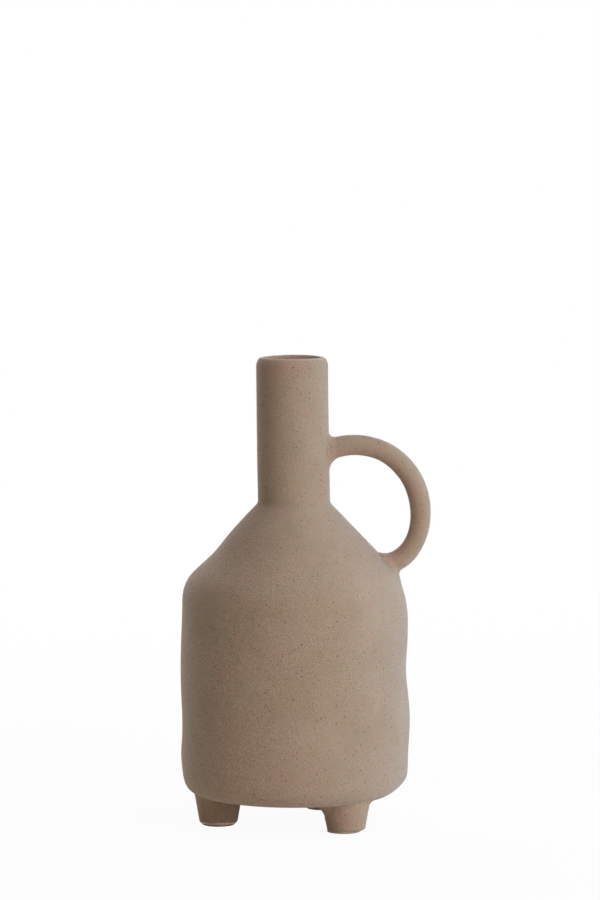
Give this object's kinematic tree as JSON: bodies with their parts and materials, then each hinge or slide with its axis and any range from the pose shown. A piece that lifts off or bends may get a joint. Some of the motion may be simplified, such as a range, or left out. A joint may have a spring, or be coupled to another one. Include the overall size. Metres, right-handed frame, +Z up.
{
  "type": "footed bottle vase",
  "caption": "Hand-built stoneware bottle vase with a tall neck, a ring handle from neck to shoulder and tapered feet, for cut stems.",
  "frame": {"origin": "the middle of the vase's box, on the surface that the feet stand on; the vessel's own axis stands 6.9 mm towards -X of it, because the handle reaches out on one side", "axes": "+Z up along the neck, +X from the vessel's axis towards the handle, +Y towards the rear foot, away from a viewer who has the handle on the right"},
  "size_m": [0.1606, 0.1462, 0.3],
  "materials": {
    "speckled_stoneware": "matte unglazed taupe stoneware with fine sandy grain, small dark iron specks and faint pink patches",
    "foot_stoneware": "the same matte speckled stoneware, with the lower edge and sole wiped back to pinkish bare clay"
  },
  "bodies": {
    "root": {"floor_dish": "speckled_stoneware", "body_wall": "speckled_stoneware", "shoulder": "speckled_stoneware", "neck": "speckled_stoneware", "handle": "speckled_stoneware", "foot_left": "foot_stoneware", "foot_right": "foot_stoneware", "foot_rear": "foot_stoneware"}
  },
  "joints": []
}
